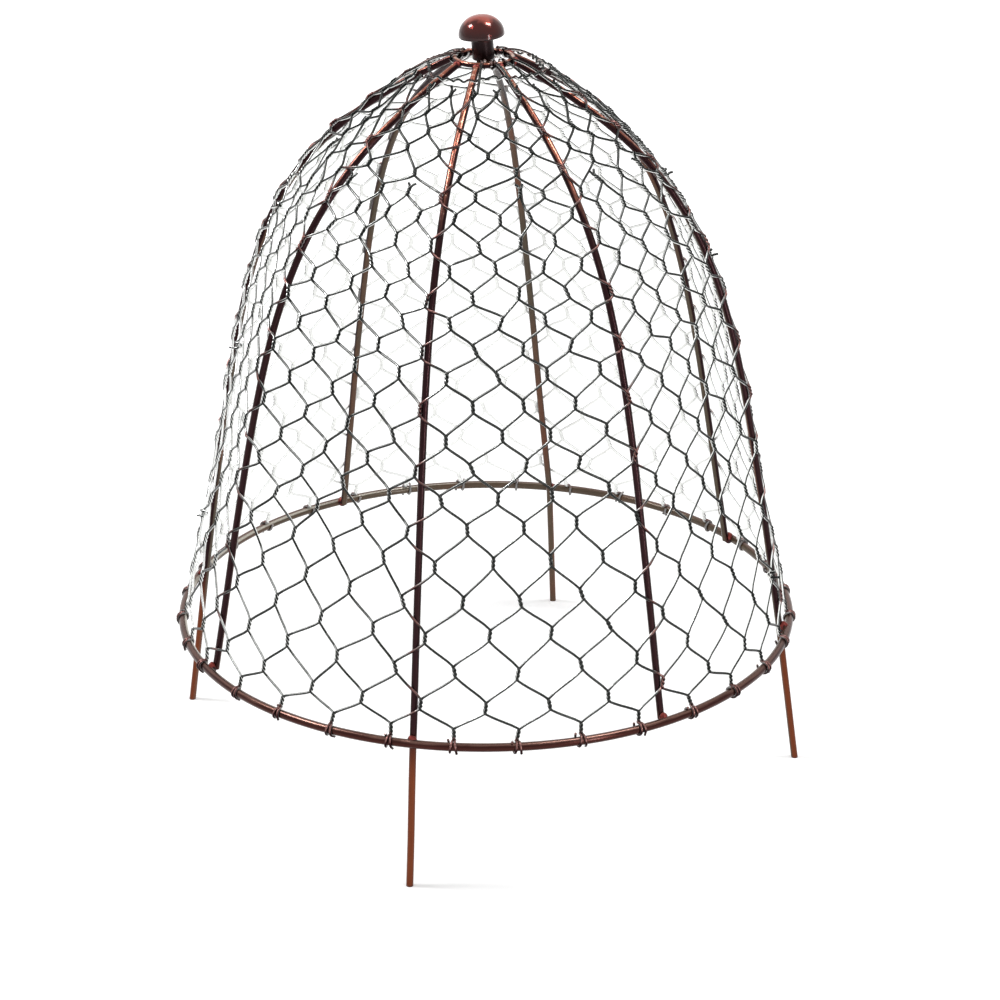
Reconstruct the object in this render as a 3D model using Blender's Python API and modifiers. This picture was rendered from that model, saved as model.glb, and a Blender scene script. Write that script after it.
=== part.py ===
"""Wire plant protector: a bell of eight bent rods on a base ring, covered with
hexagonal netting, with a mushroom knob on top. Metres, +Z up, four leg tips on z = 0,
the bell's axis on the Z axis, and the front leg towards -Y."""
import math

import bmesh
import bpy
import numpy as np
from mathutils import Matrix, Vector

MM = 0.001
COLLECTION_NAME = "wire_plant_protector"

# Driving dimensions
OVERALL_HEIGHT = 550 * MM        # leg tips to the top of the knob
OVERALL_WIDTH = 470 * MM         # over two opposite leg tips
GAP = 0.3 * MM                   # between pieces that touch
RIB_ROD = 5.0 * MM               # diameter of the bent rods
BASE_ROD = 6.0 * MM              # diameter of the base ring's rod
BASE_RING_RADIUS = 223.5 * MM    # axis of the bell to the middle of the rod
BASE_RING_HEIGHT = 105 * MM
TOP_ROD = 4.0 * MM
TOP_RING_RADIUS = 19.8 * MM
TOP_RING_HEIGHT = 519.5 * MM

# Bell outline: handles of the one cubic curve that every rod follows
SHOULDER_HANDLE = (174 * MM, 442.5 * MM)
SIDE_HANDLE = (176 * MM, 369.5 * MM)
RIB_POINTS = 22
LEG_POINTS = 4
TIP_ALLOWANCE = 4 * MM           # extra leg length that the flat cut takes off
FOOT_EASE = 0.1 * MM             # the straight rods' extra gap to the faceted base ring

# Each rod: name, angle round the base anticlockwise from the front leg, how far it
# leans round the axis by the top (hand-bent rods do), and whether it has a leg
RODS = [
    ("leg_rib_front", 0.0, 0.5, True),
    ("short_rib_front_right", 46.5, -3.0, False),
    ("leg_rib_right", 92.0, -4.0, True),
    ("short_rib_back_right", 134.5, 5.5, False),
    ("leg_rib_back", 179.5, 7.0, True),
    ("short_rib_back_left", 224.5, -3.0, False),
    ("leg_rib_left", 270.0, 1.5, True),
    ("short_rib_front_left", 311.5, 7.5, False),
]

# Netting: hexagons whose twisted sides stand upright
COLUMNS_PER_PANEL = 3
NET_ROWS = 12
NET_WIRE = 1.5 * MM
TWIST_SHARE = 0.33               # of a row's height that its upright twists take
NET_CLEARANCE = 1.0 * MM         # the netting stands off the rods by this
NET_STANDOFF = RIB_ROD / 2 + GAP + NET_WIRE / 2 + NET_CLEARANCE
NET_SEAM = 2.8 * MM              # between the edge wires of neighbouring panels
NET_RING_GAP = 0.5 * MM          # netting's lowest wires over the base ring

# Knob and what carries it inside the top ring
CAP_RADIUS = 16.0 * MM
CAP_HEIGHT = 15.0 * MM
CAP_RIM = 1.2 * MM
STEM_RADIUS = 7.6 * MM
STEM_FOOT_HEIGHT = 519.0 * MM
STRAP_LENGTH = 33.0 * MM
STRAP_WIDTH = 10.0 * MM
STRAP_THICKNESS = 2.5 * MM
SCREW_RADIUS = 2.5 * MM
SCREW_DEPTH = 10.0 * MM          # shank above the strap
SCREW_HEAD_RADIUS = 4.6 * MM
SCREW_HEAD_HEIGHT = 3.2 * MM
KNOB_TURN = 14.0                 # degrees round the axis that the strap lies at
KNOB_LEAN = 4.5                  # degrees that the welded knob leans sideways

# Fineness of the round pieces
RING_SIDES = 8
BASE_RING_STEPS = 80
TOP_RING_STEPS = 32
CAP_STEPS = 36
DOME_POINTS = 10
STEM_STEPS = 28
SCREW_STEPS = 20
OUTLINE_SAMPLES = 400
SLOPE_STEP = 1.0 * MM            # length run over which the outline's slope is read
ROD_ROUNDNESS = 2                # a rod's bevel resolution, 8 sides
ROD_EDGE, RING_EDGE = 40, 60     # degrees past which an edge is shaded sharp
MERGE_DISTANCE = 0.01 * MM

CUTTER_MARGIN = 1.2              # ground cutter's width over the protector's
CUTTER_DEPTH = 40 * MM
DRILL_LENGTH = 10 * MM           # well past both faces of the strap
SCREW_EDGE = 0.55                # share of the screw head's height that is upright
SCREW_FLAT = 0.7                 # share of its radius that is flat underneath
CAP_UNDERCUT = 0.4               # share of the rim that the cap's underside draws in

FRAME_COLOUR = (0.085, 0.026, 0.018, 1.0)
LEG_COLOUR = (0.13, 0.04, 0.025, 1.0)
CAP_COLOUR = (0.16, 0.032, 0.022, 1.0)
STEM_COLOUR = (0.03, 0.01, 0.01, 1.0)
SCREW_COLOUR = (0.45, 0.44, 0.42, 1.0)
NET_COLOUR = (0.05, 0.055, 0.05, 1.0)


def clear_scene():
    """Remove whatever the scene holds."""
    for item in list(bpy.data.objects):
        bpy.data.objects.remove(item, do_unlink=True)


def make_collection(name, hidden=False):
    """A collection linked to the scene."""
    group = bpy.data.collections.new(name)
    bpy.context.scene.collection.children.link(group)
    group.hide_render = hidden
    return group


def make_material(name, colour, metallic, roughness):
    """A Principled material with one colour."""
    material = bpy.data.materials.new(name)
    material.use_nodes = True
    shader = material.node_tree.nodes["Principled BSDF"]
    shader.inputs["Base Color"].default_value = colour
    shader.inputs["Metallic"].default_value = metallic
    shader.inputs["Roughness"].default_value = roughness
    material.diffuse_color = colour
    return material


def add_object(name, data, group, material):
    """Link new data to the collection as one named piece."""
    piece = bpy.data.objects.new(name, data)
    group.objects.link(piece)
    data.materials.append(material)
    return piece


def mesh_from(builder, name):
    """Turn a bmesh into a mesh and free it."""
    mesh = bpy.data.meshes.new(name)
    builder.to_mesh(mesh)
    builder.free()
    return mesh


def smooth(piece, angle):
    """Smooth shading with sharp edges kept."""
    piece.data.shade_smooth()
    piece.data.set_sharp_from_angle(angle=math.radians(angle))


def rib_foot():
    """Radius and height where a rod's middle passes the inside of the base ring."""
    clearance = BASE_ROD / 2 + GAP + RIB_ROD / 2
    return BASE_RING_RADIUS - clearance - FOOT_EASE, BASE_RING_HEIGHT


def rib_head():
    """Radius and height where a rod butts against the outside of the top ring."""
    run = Vector((SHOULDER_HANDLE[0] - TOP_RING_RADIUS, SHOULDER_HANDLE[1] - TOP_RING_HEIGHT))
    run.normalize()
    reach = TOP_ROD / 2 + GAP
    return TOP_RING_RADIUS + run.x * reach, TOP_RING_HEIGHT + run.y * reach


def bell_outline():
    """Radius, height and length run of the rods' curve, from the base ring upwards."""
    ends = np.array([rib_foot(), SIDE_HANDLE, SHOULDER_HANDLE, rib_head()])
    t = np.linspace(0, 1, OUTLINE_SAMPLES)[:, None]
    weights = np.hstack([(1 - t) ** 3, 3 * (1 - t) ** 2 * t, 3 * (1 - t) * t ** 2, t ** 3])
    points = weights @ ends
    steps = np.hypot(*np.diff(points, axis=0).T)
    return points[:, 0], points[:, 1], np.concatenate([[0], np.cumsum(steps)])


BELL_RADIUS, BELL_HEIGHT, BELL_RUN = bell_outline()
BELL_LENGTH = BELL_RUN[-1]


def bell_at(run, standoff=0.0):
    """Radius and height at a length run up the bell, moved outwards by standoff."""
    low, high = max(run - SLOPE_STEP, 0), min(run + SLOPE_STEP, BELL_LENGTH)
    slope = Vector((np.interp(high, BELL_RUN, BELL_RADIUS) - np.interp(low, BELL_RUN, BELL_RADIUS),
                    np.interp(high, BELL_RUN, BELL_HEIGHT) - np.interp(low, BELL_RUN, BELL_HEIGHT)))
    slope.normalize()
    radius = np.interp(run, BELL_RUN, BELL_RADIUS) + slope.y * standoff
    height = np.interp(run, BELL_RUN, BELL_HEIGHT) - slope.x * standoff
    return float(radius), float(height)


def place(radius, height, angle):
    """The point at an angle (degrees) anticlockwise from the front."""
    turn = math.radians(angle)
    return Vector((radius * math.sin(turn), -radius * math.cos(turn), height))


def leaned(angle, lean, height):
    """A rod's angle at a height, with its lean growing above the base ring."""
    rise = (height - BASE_RING_HEIGHT) / (TOP_RING_HEIGHT - BASE_RING_HEIGHT)
    return angle + lean * max(rise, 0.0)


def rod_route(angle, lean, has_leg):
    """Points along the middle of one rod, from the top ring down."""
    route = []
    for index in range(RIB_POINTS):
        radius, height = bell_at(BELL_LENGTH * (1 - index / (RIB_POINTS - 1)))
        route.append(place(radius, height, leaned(angle, lean, height)))
    if has_leg:
        foot_radius, foot_height = rib_foot()
        tip_radius = OVERALL_WIDTH / 2 - RIB_ROD / 2
        splay = (tip_radius - foot_radius) / foot_height
        for index in range(1, LEG_POINTS + 1):
            height = foot_height - (foot_height + TIP_ALLOWANCE) * index / LEG_POINTS
            route.append(place(foot_radius + splay * (foot_height - height), height, angle))
    return route


def rod_curve(name, route, diameter):
    """A round rod along a route, with filled ends."""
    curve = bpy.data.curves.new(name, "CURVE")
    curve.dimensions = "3D"
    curve.bevel_depth = diameter / 2
    curve.bevel_resolution = ROD_ROUNDNESS
    curve.use_fill_caps = True
    spline = curve.splines.new("POLY")
    spline.points.add(len(route) - 1)
    for point, spot in zip(spline.points, route):
        point.co = (*spot, 1.0)
    return curve


def ground_cutter(cutters):
    """A block below z = 0 that cuts the leg tips flat."""
    bpy.ops.mesh.primitive_cube_add(size=1)
    block = bpy.context.object
    block.name = "ground_cutter"
    block.scale = (OVERALL_WIDTH * CUTTER_MARGIN, OVERALL_WIDTH * CUTTER_MARGIN, CUTTER_DEPTH)
    block.location = (0, 0, -CUTTER_DEPTH / 2)
    for group in list(block.users_collection):
        group.objects.unlink(block)
    cutters.objects.link(block)
    block.hide_render = True
    block.display_type = "WIRE"
    return block


def build_rod(name, angle, lean, has_leg, group, material, cutter):
    """One bent rod; a legged one is made a mesh and cut flat at its tip."""
    curve = rod_curve(name, rod_route(angle, lean, has_leg), RIB_ROD)
    piece = add_object(name, curve, group, material)
    if not has_leg:
        return piece
    depsgraph = bpy.context.evaluated_depsgraph_get()
    mesh = bpy.data.meshes.new_from_object(piece.evaluated_get(depsgraph))
    builder = bmesh.new()
    builder.from_mesh(mesh)
    bmesh.ops.remove_doubles(builder, verts=builder.verts, dist=MERGE_DISTANCE)
    builder.to_mesh(mesh)
    builder.free()
    bpy.data.objects.remove(piece, do_unlink=True)
    legged = bpy.data.objects.new(name, mesh)
    group.objects.link(legged)
    smooth(legged, ROD_EDGE)
    cut = legged.modifiers.new("flat_tip", "BOOLEAN")
    cut.operation = "DIFFERENCE"
    cut.object = cutter
    return legged


def build_ring(name, radius, height, rod, steps, group, material):
    """A closed ring of round rod."""
    bpy.ops.mesh.primitive_torus_add(major_segments=steps, minor_segments=RING_SIDES,
                                     major_radius=radius, minor_radius=rod / 2,
                                     location=(0, 0, height))
    ring = bpy.context.object
    ring.name = name
    ring.data.name = name
    for old in list(ring.users_collection):
        old.objects.unlink(ring)
    group.objects.link(ring)
    ring.data.materials.append(material)
    smooth(ring, RING_EDGE)
    return ring


def net_angle(column, height):
    """Angle of a netting column; the columns share out the space between leaning rods."""
    place_in_rods = column / COLUMNS_PER_PANEL
    index = math.floor(place_in_rods)
    part = place_in_rods - index
    turns, first = divmod(index, len(RODS))
    more_turns, second = divmod(index + 1, len(RODS))
    start = leaned(RODS[first][1], RODS[first][2], height) + 360 * turns
    end = leaned(RODS[second][1], RODS[second][2], height) + 360 * more_turns
    return start + (end - start) * part


def net_run(row):
    """Length run up the bell at a row line, just above the base ring at row zero."""
    lowest = BASE_ROD / 2 + NET_WIRE / 2 + NET_RING_GAP
    return lowest + (BELL_LENGTH - lowest) * row / (NET_ROWS + 1 - TWIST_SHARE)


def row_shift(row):
    """Every other row of hexagons stands half a column further round."""
    return 0.5 if row % 2 else 0.0


def build_net_panel(index, group, material):
    """One panel of netting between two rods, as a mesh of hexagons made into wires."""
    builder = bmesh.new()
    corners = {}
    first_column = index * COLUMNS_PER_PANEL

    def corner(column, row, top):
        """A hexagon corner at the foot or the top of a twist, drawn in at the panel's edges."""
        key = (column, row, top)
        if key not in corners:
            radius, height = bell_at(net_run(row + 1 - TWIST_SHARE * (not top)), NET_STANDOFF)
            edge = column - first_column - row_shift(row)
            side = {0: -1, COLUMNS_PER_PANEL: 1}.get(edge, 0)
            turn = net_angle(column, height) - side * math.degrees(NET_SEAM / 2 / radius)
            corners[key] = builder.verts.new(place(radius, height, turn))
        return corners[key]

    for row in range(NET_ROWS):
        for step in range(COLUMNS_PER_PANEL):
            left = first_column + step + row_shift(row)
            builder.faces.new([
                corner(left, row, False),
                corner(left + 0.5, row - 1, True),
                corner(left + 1, row, False),
                corner(left + 1, row, True),
                corner(left + 0.5, row + 1, False),
                corner(left, row, True),
            ])
    bmesh.ops.recalc_face_normals(builder, faces=builder.faces)
    panel = add_object(f"netting_panel_{index + 1}", mesh_from(builder, "netting"), group, material)
    wires = panel.modifiers.new("wires", "WIREFRAME")
    wires.thickness = NET_WIRE
    wires.use_boundary = True
    wires.use_even_offset = True
    wires.use_replace = True
    return panel


def turned(name, profile, steps, group, material):
    """A turned piece from a profile that runs down its outer side."""
    mesh = bpy.data.meshes.new(name)
    points = [(radius, 0, height) for radius, height in profile]
    mesh.from_pydata(points, [(i, i + 1) for i in range(len(points) - 1)], [])
    piece = add_object(name, mesh, group, material)
    screw = piece.modifiers.new("turn", "SCREW")
    screw.steps = steps
    screw.render_steps = steps
    screw.use_merge_vertices = True
    screw.merge_threshold = MERGE_DISTANCE
    screw.use_smooth_shade = True
    return piece


def build_knob(group, cap_paint, stem_paint, frame_paint, screw_steel):
    """Cap, stem, strap and screw, hung from one empty so that they lean together."""
    seat = bpy.data.objects.new("knob_seat", None)
    group.objects.link(seat)
    seat.location = (0, 0, STEM_FOOT_HEIGHT)
    seat.rotation_euler = (0, math.radians(-KNOB_LEAN), math.radians(KNOB_TURN))
    seat.rotation_mode = "XYZ"

    rim_height = OVERALL_HEIGHT - CAP_HEIGHT - STEM_FOOT_HEIGHT
    dome_height = CAP_HEIGHT - CAP_RIM
    quarter = np.linspace(0, math.pi / 2, DOME_POINTS)
    dome = [(CAP_RADIUS * math.sin(a), rim_height + CAP_RIM + dome_height * math.cos(a)) for a in quarter]
    underside = [(CAP_RADIUS - CAP_RIM * CAP_UNDERCUT, rim_height), (STEM_RADIUS, rim_height),
                 (0, rim_height)]
    cap = turned("knob_cap", dome + underside, CAP_STEPS, group, cap_paint)

    hole = SCREW_RADIUS + GAP
    stem_top = rim_height - GAP
    stem_bore = SCREW_DEPTH + GAP
    stem = turned("knob_stem", [(0, stem_top), (STEM_RADIUS, stem_top), (STEM_RADIUS, 0), (hole, 0),
                                (hole, stem_bore), (0, stem_bore)],
                  STEM_STEPS, group, stem_paint)

    strap_mesh = bmesh.new()
    bmesh.ops.create_cube(strap_mesh, size=1, matrix=Matrix.Diagonal(
        (STRAP_WIDTH, STRAP_LENGTH, STRAP_THICKNESS, 1)))
    strap = add_object("hub_strap", mesh_from(strap_mesh, "hub_strap"), group, frame_paint)
    strap.location = (0, 0, -GAP - STRAP_THICKNESS / 2)

    strap_foot = -GAP - STRAP_THICKNESS
    head_top = strap_foot - GAP
    shank_top = SCREW_DEPTH - GAP
    screw = turned("knob_screw", [(0, shank_top), (SCREW_RADIUS, shank_top), (SCREW_RADIUS, head_top),
                                  (SCREW_HEAD_RADIUS, head_top),
                                  (SCREW_HEAD_RADIUS, head_top - SCREW_HEAD_HEIGHT * SCREW_EDGE),
                                  (SCREW_HEAD_RADIUS * SCREW_FLAT, head_top - SCREW_HEAD_HEIGHT),
                                  (0, head_top - SCREW_HEAD_HEIGHT)], SCREW_STEPS, group, screw_steel)
    for piece in (cap, stem, strap, screw):
        piece.parent = seat
    return strap, seat, hole


def drill_strap(strap, seat, hole, cutters):
    """The screw's hole through the strap."""
    bpy.ops.mesh.primitive_cylinder_add(vertices=SCREW_STEPS, radius=hole, depth=DRILL_LENGTH)
    drill = bpy.context.object
    drill.name = "strap_drill"
    for old in list(drill.users_collection):
        old.objects.unlink(drill)
    cutters.objects.link(drill)
    drill.hide_render = True
    drill.display_type = "WIRE"
    drill.parent = seat
    cut = strap.modifiers.new("screw_hole", "BOOLEAN")
    cut.operation = "DIFFERENCE"
    cut.object = drill


def main():
    """Build every piece of the protector."""
    clear_scene()
    group = make_collection(COLLECTION_NAME)
    cutters = make_collection("cutters", hidden=True)
    frame_paint = make_material("frame_paint", FRAME_COLOUR, metallic=0.6, roughness=0.35)
    leg_paint = make_material("leg_rib_paint", LEG_COLOUR, metallic=0.6, roughness=0.35)
    cap_paint = make_material("knob_cap_paint", CAP_COLOUR, metallic=0.6, roughness=0.2)
    stem_paint = make_material("knob_stem_paint", STEM_COLOUR, metallic=0.6, roughness=0.3)
    screw_steel = make_material("screw_steel", SCREW_COLOUR, metallic=1.0, roughness=0.35)
    net_wire = make_material("netting_wire", NET_COLOUR, metallic=0.7, roughness=0.45)

    ground = ground_cutter(cutters)
    for name, angle, lean, has_leg in RODS:
        build_rod(name, angle, lean, has_leg, group, leg_paint if has_leg else frame_paint, ground)
    build_ring("base_ring", BASE_RING_RADIUS, BASE_RING_HEIGHT, BASE_ROD, BASE_RING_STEPS, group,
               frame_paint)
    build_ring("top_ring", TOP_RING_RADIUS, TOP_RING_HEIGHT, TOP_ROD, TOP_RING_STEPS, group, frame_paint)
    for index in range(len(RODS)):
        build_net_panel(index, group, net_wire)
    strap, seat, hole = build_knob(group, cap_paint, stem_paint, frame_paint, screw_steel)
    drill_strap(strap, seat, hole, cutters)


main()
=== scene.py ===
"""Wire plant protector: the finish of a bell of bent rods covered with hexagonal netting.

Every rod, ring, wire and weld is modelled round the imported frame, painted with procedural
materials, and set on a pale floor in soft studio light, seen as in the photograph."""
import math
import random

import bmesh
import bpy
import numpy as np
from bpy.props import FloatProperty, FloatVectorProperty, IntProperty, PointerProperty
from mathutils import Matrix, Vector


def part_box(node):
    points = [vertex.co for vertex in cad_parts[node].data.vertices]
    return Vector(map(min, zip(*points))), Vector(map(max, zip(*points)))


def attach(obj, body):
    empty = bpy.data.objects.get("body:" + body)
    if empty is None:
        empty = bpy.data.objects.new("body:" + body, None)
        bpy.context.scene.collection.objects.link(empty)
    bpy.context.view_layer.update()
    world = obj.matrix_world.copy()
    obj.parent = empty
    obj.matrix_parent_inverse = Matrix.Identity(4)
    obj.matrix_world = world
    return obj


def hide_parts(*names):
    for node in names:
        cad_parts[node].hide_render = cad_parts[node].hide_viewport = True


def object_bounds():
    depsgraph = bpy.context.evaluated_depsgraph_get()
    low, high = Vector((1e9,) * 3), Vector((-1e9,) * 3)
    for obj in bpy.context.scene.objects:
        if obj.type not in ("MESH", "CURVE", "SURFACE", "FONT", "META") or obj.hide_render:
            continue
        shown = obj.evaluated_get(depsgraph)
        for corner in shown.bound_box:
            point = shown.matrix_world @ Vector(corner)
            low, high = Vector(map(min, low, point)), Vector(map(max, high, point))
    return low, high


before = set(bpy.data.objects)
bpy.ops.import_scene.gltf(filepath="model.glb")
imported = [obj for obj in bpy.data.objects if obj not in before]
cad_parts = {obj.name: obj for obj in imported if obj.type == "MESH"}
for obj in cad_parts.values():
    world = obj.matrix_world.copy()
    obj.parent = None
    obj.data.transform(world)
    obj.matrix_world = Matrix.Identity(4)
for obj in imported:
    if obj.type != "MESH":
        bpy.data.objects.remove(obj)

bl_info = {
    "name": "Wire plant protector",
    "version": (1, 0, 0),
    "blender": (4, 5, 0),
    "location": "View3D > Sidebar > Protector",
    "description": "Builds the rods, netting and knob of a bell-shaped plant protector",
    "category": "Add Mesh",
}

MM = 0.001
CAD_BOX = [list(corner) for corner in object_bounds()]


def ring_facts(node):
    """Radius and height of a ring's middle line, and the diameter of its rod."""
    low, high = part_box(node)
    rod = high[2] - low[2]
    return (high[0] - low[0] - rod) / 2, (high[2] + low[2]) / 2, rod


BASE_RADIUS, BASE_HEIGHT, BASE_ROD = ring_facts("base_ring")
TOP_RADIUS, TOP_HEIGHT, TOP_ROD = ring_facts("top_ring")
OVERALL_WIDTH = CAD_BOX[1][0] - CAD_BOX[0][0]
OVERALL_HEIGHT = CAD_BOX[1][2]
GAP = 0.3 * MM                    # between pieces that touch
RIB_ROD = 5.0 * MM
RIB_SLACK = 0.1 * MM              # more between a rod and the inside of the base ring

# Bell outline: handles of the one cubic curve that every rod follows (radius, height)
SHOULDER_HANDLE = (174 * MM, 442.5 * MM)
SIDE_HANDLE = (176 * MM, 369.5 * MM)

# Each rod: its CAD node, angle anticlockwise from the front leg, and lean by the top
RODS = [
    ("leg_rib_front", 0.0, 0.5),
    ("short_rib_front_right", 46.5, -3.0),
    ("leg_rib_right", 92.0, -4.0),
    ("short_rib_back_right", 134.5, 5.5),
    ("leg_rib_back", 179.5, 7.0),
    ("short_rib_back_left", 224.5, -3.0),
    ("leg_rib_left", 270.0, 1.5),
    ("short_rib_front_left", 311.5, 7.5),
]

PAINT_REACH = 3.6 * MM            # from a rod's middle that its paint has caught the netting
UNPAINTED_FROM = 0.49             # height from which the crown's wires catch less of it
UNPAINTED_RISE = 0.02             # over which they come to catch less
UNPAINTED_SHARE = 0.7             # how much less

# Knob, seated on the strap inside the top ring
STEM_FOOT_HEIGHT = 519.0 * MM
KNOB_TURN = 14.0
KNOB_LEAN = 4.5
SCREW_RADIUS = 2.5 * MM
STRAP_THICKNESS = 2.5 * MM


def length_property(name, description, default, least=0.0):
    """A length in the scene's units."""
    return FloatProperty(name=name, description=description, default=default, min=least, unit="LENGTH")


def count_property(name, description, default, least):
    """A whole number."""
    return IntProperty(name=name, description=description, default=default, min=least)


def angle_property(name, description, degrees):
    """An angle, given in degrees."""
    return FloatProperty(name=name, description=description, default=math.radians(degrees),
                         subtype="ANGLE")


def level_property(name, description, default):
    """A brightness."""
    return FloatProperty(name=name, description=description, default=default, min=0)


def colour_property(name, description, default):
    """A linear colour that the sidebar shows as a swatch."""
    return FloatVectorProperty(name=name, description=description, default=default, size=3,
                               min=0, max=1, subtype="COLOR")


class FrameRods(bpy.types.PropertyGroup):
    """Rods and rings of the frame."""
    rib_rod: length_property("Rib rod", "Diameter of the eight bent rods", RIB_ROD, 1 * MM)
    sides: count_property("Sides", "Sides of a rod's round section", 18, 8)
    rib_steps: count_property("Rib steps", "Steps along the bell", 84, 12)
    hand_bend: length_property("Hand bend", "How far a hand-bent rod wanders", 0.45 * MM)
    bead_size: length_property("Weld bead", "Mean radius of a weld bead", 3.1 * MM)


class NettingWire(bpy.types.PropertyGroup):
    """Hexagonal netting over the bell."""
    gauge: length_property("Wire gauge", "Diameter of the netting wire", 1.85 * MM, 0.3 * MM)
    sides: count_property("Sides", "Sides of a wire's round section", 6, 3)
    columns: count_property("Columns", "Twists in a row round the bell", 32, 8)
    crown_columns: count_property("Crown columns", "Twists in a row round the crown", 20, 6)
    twist_length: length_property("Twist length", "Height of one twisted side", 8.5 * MM, 1 * MM)
    standoff: length_property("Standoff", "Wire middle out from the rods' middle", 3.6 * MM)
    looseness: length_property("Looseness", "How far a twist strays from its place", 1.1 * MM)
    seed: count_property("Seed", "Draws the netting's irregularities", 7, 0)


class KnobShape(bpy.types.PropertyGroup):
    """Mushroom knob on the crown."""
    cap_radius: length_property("Cap radius", "Widest radius of the cap", 16 * MM, 1 * MM)
    cap_height: length_property("Cap height", "Rim to crown of the cap", 15 * MM, 1 * MM)
    stem_radius: length_property("Stem radius", "Radius of the stem", 7.6 * MM, 1 * MM)


class Finishes(bpy.types.PropertyGroup):
    """Colours of the paint and the wire."""
    shade: colour_property("Paint shade", "Dark oxblood in the hollows", (0.016, 0.0028, 0.004))
    # copper over what faces up: partly brushed copper paint, partly a painted highlight from the
    # overhead light
    copper: colour_property("Paint copper", "Copper brushed over what faces up", (0.125, 0.070, 0.057))
    # bright copper on the crown's rods: a painted highlight where they face the overhead light
    crown_copper_highlight: colour_property("Bright copper", "Copper rubbed bright on the crown's rods",
                                   (0.38, 0.125, 0.080))
    # painted glints: bright specks on the crown's rods
    painted_glint: colour_property("Sparkle", "Bare bright specks on the crown's rods", (0.75, 0.55, 0.42))
    # inner side: partly thin tan paint, partly painted light spilling on the far rods
    inside: colour_property("Paint inside", "Thin tan paint on the inner side", (0.075, 0.054, 0.033))
    # pale top of the inner side: partly dust, partly a painted highlight from the key lamp
    dust_and_highlight: colour_property("Dust", "Pale dust on top of the inner side", (0.48, 0.45, 0.39))
    leg: colour_property("Leg paint", "Rust red of the legs", (0.155, 0.036, 0.011))
    weld: colour_property("Weld", "Red-brown primer on the weld beads", (0.17, 0.028, 0.022))
    cap: colour_property("Cap paint", "Glossy red-brown of the cap", (0.055, 0.005, 0.003))
    # a painted red highlight on top of the cap
    cap_painted_highlight: colour_property("Crest of the cap", "Rubbed red on top of the cap", (0.40, 0.085, 0.06))
    stem: colour_property("Stem paint", "Near-black maroon of the stem", (0.010, 0.0035, 0.004))
    wire: colour_property("Wire", "Charcoal of the netting", (0.010, 0.0115, 0.011))
    # frame paint on the wire, lighter where it faces up and out as a painted highlight
    wire_paint_and_highlight: colour_property("Wire rubbed", "Frame paint that the wire has caught",
                                 (0.20, 0.10, 0.09))
    # outer crest of the wire: partly wear, partly a painted highlight
    wire_crest: colour_property("Wire crest", "Worn charcoal on the outer crest", (0.040, 0.042, 0.040))
    # a painted highlight along the wires that face between the camera and the left lamp
    wire_painted_glint: colour_property("Wire bright", "Zinc, bright on the weather side", (0.62, 0.63, 0.62))
    # inner side of the wire: bare zinc, lightened near white as painted glare
    wire_inside_and_glare: colour_property("Wire inside", "Bare zinc on the inner side", (0.92, 0.93, 0.91))
    steel: colour_property("Screw steel", "Steel of the screw", (0.42, 0.41, 0.39))


class Studio(bpy.types.PropertyGroup):
    """Camera, lamps and floor."""
    camera_turn: angle_property("Camera turn", "Angle round from the front leg", 13.2)
    camera_distance: length_property("Camera distance", "Level distance to the axis", 2.002)
    camera_height: length_property("Camera height", "Height over the floor", 1.064)
    camera_pitch: angle_property("Camera pitch", "Tilt down", 23.61)
    camera_yaw: angle_property("Camera yaw", "Turn to the right of the axis", 0.30)
    camera_roll: angle_property("Camera roll", "Turn about the line of sight", -0.13)
    lens: FloatProperty(name="Lens", description="Focal length on a 36 mm sensor, in millimetres",
                        default=107.86, min=10)
    key_radiance: level_property("Key light", "Brightness of the window light", 26.0)
    fill_radiance: level_property("Fill light", "Brightness of the light at the left", 46.0)
    soft_radiance: level_property("Soft light", "Brightness of the wide light by the camera", 1.5)
    strip_radiance: level_property("Strip light", "Brightness of the tall light at the right", 44.0)
    ambient: level_property("Ambient", "Light from all round", 0.35)
    floor: colour_property("Floor", "Pale floor", (0.93, 0.93, 0.93))


GROUPS = {"protector_rods": FrameRods, "protector_net": NettingWire, "protector_knob": KnobShape,
          "protector_finish": Finishes, "protector_studio": Studio}


class Socket:
    """One output of a node; Python's operators on it add Math nodes."""

    def __init__(self, graph, port):
        self.graph = graph
        self.port = port

    def math(self, operation, *values):
        """A Math node on this value and others."""
        return self.graph.add("ShaderNodeMath", {"operation": operation}, dict(enumerate(values)))

    def __add__(self, other):
        return self.math("ADD", self, other)

    def __sub__(self, other):
        return self.math("SUBTRACT", self, other)

    def __rsub__(self, other):
        return self.math("SUBTRACT", other, self)

    def __mul__(self, other):
        return self.math("MULTIPLY", self, other)

    def __truediv__(self, other):
        return self.math("DIVIDE", self, other)

    __radd__ = __add__
    __rmul__ = __mul__


class Graph:
    """A node tree written as Python calls."""

    def __init__(self, tree):
        self.tree = tree

    def add(self, kind, settings=None, inputs=None, output=0):
        """A node with its settings made first, then its sockets' values or links."""
        node = self.tree.nodes.new(kind)
        for key, value in (settings or {}).items():
            setattr(node, key, value)
        self.supply(node, inputs or {})
        return Socket(self, node.outputs[output])

    def supply(self, node, inputs):
        """Set or link a node's input sockets."""
        for key, value in inputs.items():
            if isinstance(value, Socket):
                self.tree.links.new(value.port, node.inputs[key])
            else:
                node.inputs[key].default_value = value

    def between(self, value, low, high):
        """Smooth step from 0 at low to 1 at high."""
        return self.add("ShaderNodeMapRange", {"interpolation_type": "SMOOTHSTEP"},
                        {"Value": value, "From Min": low, "From Max": high})

    def vector(self, operation, *values, output=0):
        """A Vector Math node."""
        return self.add("ShaderNodeVectorMath", {"operation": operation},
                        dict(enumerate(values)), output)

    def scaled(self, vector, factor):
        """A vector times a number."""
        return self.add("ShaderNodeVectorMath", {"operation": "SCALE"}, {0: vector, "Scale": factor})

    def upward(self, vector):
        """A vector's Z."""
        return self.add("ShaderNodeSeparateXYZ", {}, {0: vector}, output="Z")


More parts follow.
